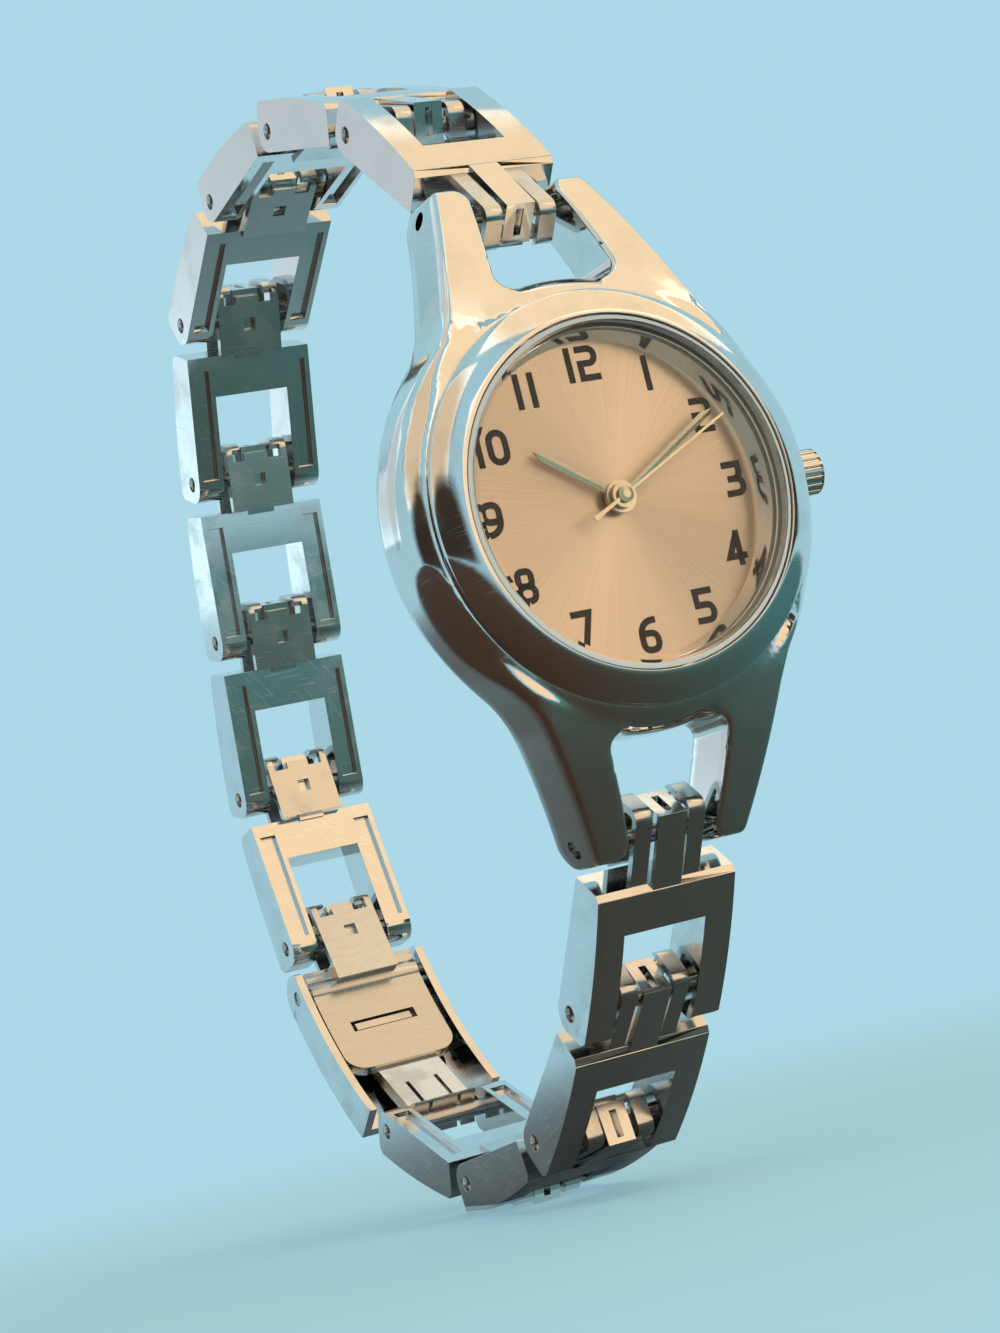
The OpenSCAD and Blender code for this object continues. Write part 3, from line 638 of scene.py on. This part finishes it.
dial_finish.node_tree.links.new(
    brushing.outputs["Tangent"], dial_finish.node_tree.nodes["Principled BSDF"].inputs["Tangent"]
)
dressed("dial", dial_finish)

# Numerals: twelve upright figures pad-printed on the dial in thick dark brown ink. Their strokes
# have one width all along, with square corners and a few round ones.
ink_colour = (0.026, 0.014, 0.011)
numeral_height = 2.2 * MM
numeral_width = 1.45 * MM
numeral_pen = 0.41 * MM
numeral_gap = 0.36 * MM
wide_gap = 0.58 * MM
numeral_ring = 8.43 * MM
ink_thick = 0.02 * MM


def bend(centre, radius, start, end, steps=8):
    """Points along an arc, with angles in degrees counted from the figure's right-hand side."""
    turns = [math.radians(start + (end - start) * i / steps) for i in range(steps + 1)]
    x, y = centre
    return [(x + radius * math.cos(turn), y + radius * math.sin(turn)) for turn in turns]


def figure_strokes(figure):
    """Pen paths of one figure, from its bottom left corner, drawn along the middle of the pen."""
    half = numeral_pen / 2
    left, right = half, numeral_width - half
    low, high = half, numeral_height - half
    middle = numeral_height / 2
    bowl_r = 0.42 * MM
    corner_r = 0.3 * MM
    if figure == "0":
        end_r = (right - left) / 2
        centre_x = (left + right) / 2
        return [
            bend((centre_x, high - end_r), end_r, 0, 180)
            + bend((centre_x, low + end_r), end_r, 180, 360)
            + [(right, high - end_r)]
        ]
    if figure == "1":
        return [[(half, 0), (half, numeral_height)]]
    if figure == "2":
        return [
            [(0, high)]
            + bend((right - bowl_r, high - bowl_r), bowl_r, 90, 0)
            + bend((right - bowl_r, middle + bowl_r), bowl_r, 0, -90)
            + [(left, middle), (left, low), (numeral_width, low)]
        ]
    if figure == "3":
        edge, waist = right - 0.1 * MM, right - 0.35 * MM
        return [
            [(0, high), (edge, high), (edge, middle + corner_r), (waist, middle), (0.25 * MM, middle)],
            [(right - bowl_r, middle)]
            + bend((right - bowl_r, middle - bowl_r), bowl_r, 90, 0)
            + bend((right - bowl_r, low + bowl_r), bowl_r, 0, -90)
            + [(0, low)],
        ]
    if figure == "4":
        bar = numeral_height * 0.27
        stem = right - 0.28 * MM
        return [[(stem, 0), (stem, numeral_height)], [(stem, high), (left, bar), (numeral_width, bar)]]
    if figure == "5":
        bowl = middle + 0.05 * MM
        return [
            [(right + half * 0.6, high), (left, high), (left, bowl)]
            + bend((right - bowl_r, bowl - bowl_r), bowl_r, 90, 0)
            + bend((right - bowl_r, low + bowl_r), bowl_r, 0, -90)
            + [(0, low)]
        ]
    if figure in "69":
        bowl = middle + 0.12 * MM
        path = (
            [(right + half * 0.4, high)]
            + bend((left + 2 * bowl_r, high - 2 * bowl_r), 2 * bowl_r, 90, 180)
            + bend((left + bowl_r, low + bowl_r), bowl_r, 180, 270)
            + bend((right - bowl_r, low + bowl_r), bowl_r, -90, 0)
            + bend((right - bowl_r, bowl - bowl_r), bowl_r, 0, 90)
            + [(left, bowl)]
        )
        if figure == "9":
            path = [(numeral_width - x, numeral_height - y) for x, y in path]
        return [path]
    if figure == "7":
        return [[(0, high), (right, high), (numeral_width * 0.42, 0)]]
    inset = 0.08 * MM
    near, far = left + inset + corner_r, right - inset - corner_r
    return [
        bend((far, high - corner_r), corner_r, 90, 0)
        + bend((far, middle + corner_r), corner_r, 0, -90)
        + bend((near, middle + corner_r), corner_r, 270, 180)
        + bend((near, high - corner_r), corner_r, 180, 90)
        + [(far, high)],
        bend((right - bowl_r, middle - bowl_r), bowl_r, 90, 0)
        + bend((right - bowl_r, low + bowl_r), bowl_r, 0, -90)
        + bend((left + bowl_r, low + bowl_r), bowl_r, 270, 180)
        + bend((left + bowl_r, middle - bowl_r), bowl_r, 180, 90)
        + [(right - bowl_r, middle)],
    ]


def lay_stroke(shape, path, corner):
    """Adds a flat stroke of the pen's width along the path to the shape, with mitred corners."""
    closed = (Vector(path[0]) - Vector(path[-1])).length < 0.01 * MM
    points = [Vector(path[0])]
    for point in map(Vector, path[1:]):
        if (point - points[-1]).length > 0.004 * MM:
            points.append(point)
    if closed:
        points.pop()
    count = len(points)
    rows = []
    for i, point in enumerate(points):
        before = points[i - 1] if i or closed else None
        after = points[(i + 1) % count] if i + 1 < count or closed else None
        come = (point - before).normalized() if before is not None else (after - point).normalized()
        go = (after - point).normalized() if after is not None else come
        mitre = (come + go).normalized()
        side = Vector((-mitre.y, mitre.x)) * numeral_pen / 2 / max(mitre.dot(go), 0.35)
        row = []
        for spot in (point + side, point - side):
            row.append(shape.verts.new((corner.x + spot.x, dial_face_y, corner.y + spot.y)))
        rows.append(row)
    for i in range(count if closed else count - 1):
        a, b = rows[i], rows[(i + 1) % count]
        shape.faces.new((a[0], a[1], b[1], b[0]))


ink = finish_material(
    "Numeral ink",
    fine_speckle,
    {"Color": ink_colour, "Roughness": 0.6},
    metallic=0.0,
    bump=0.2,
    Specular_IOR_Level=0.1,
)
for hour in range(1, 13):
    figures = str(hour)
    widths = [numeral_pen if figure == "1" else numeral_width for figure in figures]
    gap = wide_gap if figures == "11" else numeral_gap
    start = -(sum(widths) + gap * (len(figures) - 1)) / 2
    angle = math.radians(30 * hour)
    centre = Vector((numeral_ring * math.sin(angle), numeral_ring * math.cos(angle)))
    numeral = bmesh.new()
    for figure, width in zip(figures, widths):
        corner = centre + Vector((start, -numeral_height / 2))
        for path in figure_strokes(figure):
            lay_stroke(numeral, path, corner)
        start += width + gap
    bmesh.ops.recalc_face_normals(numeral, faces=numeral.faces)
    printed = placed(f"numeral_{hour}", numeral, ink)
    film = printed.modifiers.new("Ink film", "SOLIDIFY")
    film.thickness = 2 * ink_thick
    film.offset = 0
    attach(printed, "head")

# Hands: stamped steel blades with a polished ridge, each pressed on its own pipe. The second
# hand is a thin needle with a tail, and its boss is capped with a small dome.
hand_finish = finish_material(
    "Hand steel", polish_wear, {"Color": (0.58, 0.41, 0.25), "Roughness": 0.22, "Haze": 0.05}
)
for hand in ("hour_hand", "minute_hand", "second_hand"):
    dressed(hand, hand_finish)

# Crown: turned steel with milled flutes for the fingertips and a domed end, pressed on the stem.
# The tube that it slides on is driven into the case.
crown_finish = finish_material(
    "Crown steel", polish_wear, {"Color": (0.76, 0.75, 0.73), "Roughness": 0.12, "Haze": 0.1}
)
dressed("crown", crown_finish)
dressed("crown_tube", crown_finish)

# Stem and setting lever: the drawn steel stem carries the crown, and the brass lever in its
# groove holds it in either of its two places.
streak_tint = (0.82, 0.82, 0.82)
drawn_grain, drawn_in, drawn_out = finish_effect("Brushed grain", (0.6, 0.6, 0.6), 0.28)
streaks = clouds(drawn_grain, place_in_mm(drawn_grain, (0, 0, 0), (0.6, 14, 14)), 1, 3)
drawn_grain.links.new(
    darker(drawn_grain, drawn_in.outputs["Color"], streaks, streak_tint), drawn_out.inputs["Color"]
)
drawn_grain.links.new(
    combine(drawn_grain, "MULTIPLY_ADD", streaks, 0.14, drawn_in.outputs["Roughness"]),
    drawn_out.inputs["Roughness"],
)
drawn_grain.links.new(streaks, drawn_out.inputs["Height"])
pin_finish = finish_material("Pin steel", drawn_grain, {"Color": (0.55, 0.55, 0.55), "Roughness": 0.2})
dressed("stem", pin_finish)
brass_finish = finish_material(
    "Movement brass", drawn_grain, {"Color": (0.72, 0.62, 0.40), "Roughness": 0.25}
)
dressed("setting_lever", brass_finish)

# Movement: a quartz module on a brass plate, with its coin cell in a pocket under a sprung strap,
# held in the case by a moulded plastic ring.
dressed("movement_plate", brass_finish)
cell_finish = finish_material(
    "Cell steel", drawn_grain, {"Color": (0.72, 0.72, 0.72), "Roughness": 0.22}
)
dressed("battery", cell_finish)
holder_finish = finish_material(
    "Holder plastic", fine_speckle, {"Color": (0.88, 0.88, 0.85), "Roughness": 0.5}, metallic=0.0
)
dressed("movement_holder", holder_finish)

# Case back: a pressed steel lid that snaps into the case on a dark rubber ring. Its outer face is
# brushed in one direction.
back_finish = finish_material(
    "Back steel", drawn_grain, {"Color": (0.70, 0.70, 0.70), "Roughness": 0.24}
)
dressed("case_back", back_finish, 0.05 * MM)
rubber = finish_material(
    "Back seal rubber", fine_speckle, {"Color": (0.08, 0.08, 0.08), "Roughness": 0.6}, metallic=0.0
)
dressed("back_gasket", rubber)

# Links: cast steel frames with an open window, polished bright. Each has a middle tongue that
# lies over the next pin, and a folded spring-steel clip beside it that snaps round the pin.
link_finish = finish_material(
    "Link steel", polish_wear, {"Color": (0.78, 0.77, 0.76), "Roughness": 0.08, "Haze": 0.12}
)
clip_finish = finish_material(
    "Clip steel", polish_wear, {"Color": (0.68, 0.67, 0.65), "Roughness": 0.2, "Haze": 0.12}
)
for node in sorted(nodes):
    if "_link_" in node:
        dressed(node, link_finish, 0.1 * MM)
    elif "_clip_" in node:
        dressed(node, clip_finish, 0.05 * MM)

# Pins: drawn steel rods, cut a little short of the link's sides so that their ends sit in dark
# round holes.
for node in sorted(nodes):
    if "_pin_" in node or node.startswith("lug_pin"):
        dressed(node, pin_finish)

# Clasp: a curved steel cover folds down over a plate on the last link. The plate's hook reaches
# round the pin of the other end and closes the loop.
clasp_finish = finish_material(
    "Clasp steel", polish_wear, {"Color": (0.76, 0.75, 0.74), "Roughness": 0.09, "Haze": 0.14}
)
plate_finish = finish_material(
    "Plate steel", drawn_grain, {"Color": (0.70, 0.68, 0.65), "Roughness": 0.2}
)
dressed("clasp_cover", clasp_finish, 0.1 * MM)
dressed("clasp_base", plate_finish, 0.05 * MM)
dressed("clasp_hook", clip_finish, 0.05 * MM)
dressed("clasp_hinge_pin", pin_finish)

# Floor: a plain pale sheet under the watch. Far from it the sheet fades into the backdrop, and
# from below it is see-through.
paper_colour = (0.48, 0.86, 1.0)
backdrop_tone = 0.80
backdrop_colour = (0.52, 0.86, 1.0)
fade_near, fade_far = 40, 170
least_glow = 0.5
floor_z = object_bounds()[0].z
floor_shape = bmesh.new()
bmesh.ops.create_circle(floor_shape, cap_ends=True, segments=96, radius=4.0)
bmesh.ops.translate(floor_shape, verts=floor_shape.verts, vec=(0, 0, floor_z))
paper = bpy.data.materials.new("Pale paper")
paper.use_nodes = True
paper_tree = paper.node_tree
paper_shader = paper_tree.nodes["Principled BSDF"]
paper_shader.inputs["Base Color"].default_value = (*paper_colour, 1)
paper_shader.inputs["Roughness"].default_value = 0.9
paper_shader.inputs["Specular IOR Level"].default_value = 0.1
far_off = paper_tree.nodes.new("ShaderNodeVectorMath")
far_off.operation = "LENGTH"
paper_tree.links.new(place_in_mm(paper_tree), far_off.inputs[0])
fade = between(paper_tree, far_off.outputs["Value"], fade_near, fade_far)
glow_share = combine(paper_tree, "MULTIPLY_ADD", fade, 1 - least_glow, least_glow)
glow = paper_tree.nodes.new("ShaderNodeEmission")
glow.inputs["Color"].default_value = (*[backdrop_tone * part for part in backdrop_colour], 1)
faded = paper_tree.nodes.new("ShaderNodeMixShader")
paper_tree.links.new(glow_share, faded.inputs["Fac"])
paper_tree.links.new(paper_shader.outputs["BSDF"], faded.inputs[1])
paper_tree.links.new(glow.outputs["Emission"], faded.inputs[2])
underside = paper_tree.nodes.new("ShaderNodeNewGeometry")
clear = paper_tree.nodes.new("ShaderNodeBsdfTransparent")
one_sided = paper_tree.nodes.new("ShaderNodeMixShader")
paper_tree.links.new(underside.outputs["Backfacing"], one_sided.inputs["Fac"])
paper_tree.links.new(faded.outputs["Shader"], one_sided.inputs[1])
paper_tree.links.new(clear.outputs["BSDF"], one_sided.inputs[2])
paper_tree.links.new(one_sided.outputs["Shader"], paper_tree.nodes["Material Output"].inputs["Surface"])
floor = placed("floor", floor_shape, paper)

# Backdrop: pale and even where the camera, steel and glass see it, and dimmer as a source of
# light, so that the lamps shape the steel.
fill_colour = (1.0, 0.98, 0.95)
world_fill = 0.30
world = bpy.data.worlds.new("Studio")
bpy.context.scene.world = world
world.use_nodes = True
world_tree = world.node_tree
background = world_tree.nodes["Background"]
ray = world_tree.nodes.new("ShaderNodeLightPath")
seen = combine(
    world_tree,
    "MAXIMUM",
    ray.outputs["Is Camera Ray"],
    combine(world_tree, "MAXIMUM", ray.outputs["Is Glossy Ray"], ray.outputs["Is Transmission Ray"]),
)
backdrop_mix = world_tree.nodes.new("ShaderNodeMix")
backdrop_mix.data_type = "RGBA"
backdrop_mix.inputs["A"].default_value = (*fill_colour, 1)
backdrop_mix.inputs["B"].default_value = (*backdrop_colour, 1)
world_tree.links.new(seen, backdrop_mix.inputs["Factor"])
world_tree.links.new(backdrop_mix.outputs["Result"], background.inputs["Color"])
world_tree.links.new(
    combine(world_tree, "MULTIPLY_ADD", seen, backdrop_tone - world_fill, world_fill),
    background.inputs["Strength"],
)

# Lamps: three large warm softboxes in front, on the left and overhead, and a weak cool one behind,
# all plain and soft. Each row gives a lamp's place and size in metres, its watts and its colour.
softboxes = (
    ("front_softbox", (0.34, -0.78, 0.16), 0.90, 2.9, (1.0, 0.74, 0.46)),
    ("left_softbox", (-0.50, -0.30, 0.52), 0.70, 1.2, (1.0, 0.78, 0.52)),
    ("back_softbox", (-0.50, 0.66, 0.40), 0.60, 0.8, (0.80, 0.93, 1.0)),
    ("top_softbox", (0.38, -0.20, 0.68), 0.85, 2.5, (1.0, 0.76, 0.48)),
)
for name, place, size, watts, colour in softboxes:
    lamp = bpy.data.lights.new(name, "AREA")
    lamp.size = size
    lamp.energy = watts
    lamp.color = colour
    stand = bpy.data.objects.new(name, lamp)
    stand.location = place
    stand.rotation_euler = (-Vector(place)).to_track_quat("-Z", "Y").to_euler()
    stand.visible_camera = False
    bpy.context.scene.collection.objects.link(stand)

# Cards: plain brown and teal boards with faded edges, out of the picture, which polished steel
# needs as something dark to mirror. Two lie on the floor, and one stands behind each softbox.
board_fade_from, board_fade_to = 0.30, 0.5
back_distance, back_size = 1.03, 1.3
lying_cards = ("low_card", "front_card")


def board_paint(name, colour):
    """Matt paint of a board, which fades out towards the board's edges."""
    paint = bpy.data.materials.new(name)
    paint.use_nodes = True
    tree = paint.node_tree
    shader = tree.nodes["Principled BSDF"]
    shader.inputs["Base Color"].default_value = (*colour, 1)
    shader.inputs["Roughness"].default_value = 0.9
    coords = tree.nodes.new("ShaderNodeTexCoord")
    from_middle = tree.nodes.new("ShaderNodeVectorMath")
    from_middle.operation = "DISTANCE"
    from_middle.inputs[1].default_value = (0.5, 0.5, 0.5)
    tree.links.new(coords.outputs["Generated"], from_middle.inputs[0])
    edge = tree.nodes.new("ShaderNodeMixShader")
    clear = tree.nodes.new("ShaderNodeBsdfTransparent")
    fade = between(tree, from_middle.outputs["Value"], board_fade_from, board_fade_to)
    tree.links.new(fade, edge.inputs["Fac"])
    tree.links.new(shader.outputs["BSDF"], edge.inputs[1])
    tree.links.new(clear.outputs["BSDF"], edge.inputs[2])
    tree.links.new(edge.outputs["Shader"], tree.nodes["Material Output"].inputs["Surface"])
    return paint


card_brown = board_paint("Card brown", (0.06, 0.03, 0.018))
card_teal = board_paint("Card teal", (0.05, 0.24, 0.30))
boards = [
    ("low_card", (-0.21, -0.08, floor_z + 0.9 * MM), (0.62, 0.62), card_brown),
    ("front_card", (0.11, -0.11, floor_z + 0.6 * MM), (0.42, 0.38), card_teal),
    ("side_card", (-0.38, -0.34, 0.02), (0.75, 0.50), card_brown),
    ("right_card", (0.46, -0.30, -0.06), (0.36, 0.50), card_brown),
]
for name, place, size, _, _ in softboxes:
    board_side = back_size * size
    boards.append((name + "_back", Vector(place) * back_distance, (board_side, board_side), card_brown))
for name, place, size, paint in boards:
    card_shape = bmesh.new()
    bmesh.ops.create_grid(card_shape, x_segments=1, y_segments=1, size=0.5)
    bmesh.ops.scale(card_shape, verts=card_shape.verts, vec=(*size, 1))
    card = placed(name, card_shape, paint)
    card.location = place
    if name not in lying_cards:
        card.rotation_euler = (-Vector(place)).to_track_quat("-Z", "Y").to_euler()
    card.visible_camera = False
    card.visible_diffuse = False
    card.visible_shadow = False
    card.visible_transmission = False

# Camera: a long lens close to the watch, held low, in front and on the left, and tilted a little.
# Its place and directions match the outline of the watch in the picture.
camera_place = Vector((-91.34, -188.09, -24.63)) * MM
camera_data = bpy.data.cameras.new("Camera")
camera_data.sensor_width = 36
camera_data.lens = 83.1
camera = bpy.data.objects.new("Camera", camera_data)
ahead = Vector((0.45415, 0.88635, 0.09017)).normalized()
right = Vector((0.87404, -0.42365, -0.23785)).normalized()
up = right.cross(ahead).normalized()
turn = Matrix((right, up, -ahead)).transposed()
camera.matrix_world = Matrix.Translation(camera_place) @ turn.to_4x4()
bpy.context.scene.collection.objects.link(camera)
bpy.context.scene.camera = camera
bpy.context.scene.view_settings.view_transform = "Standard"
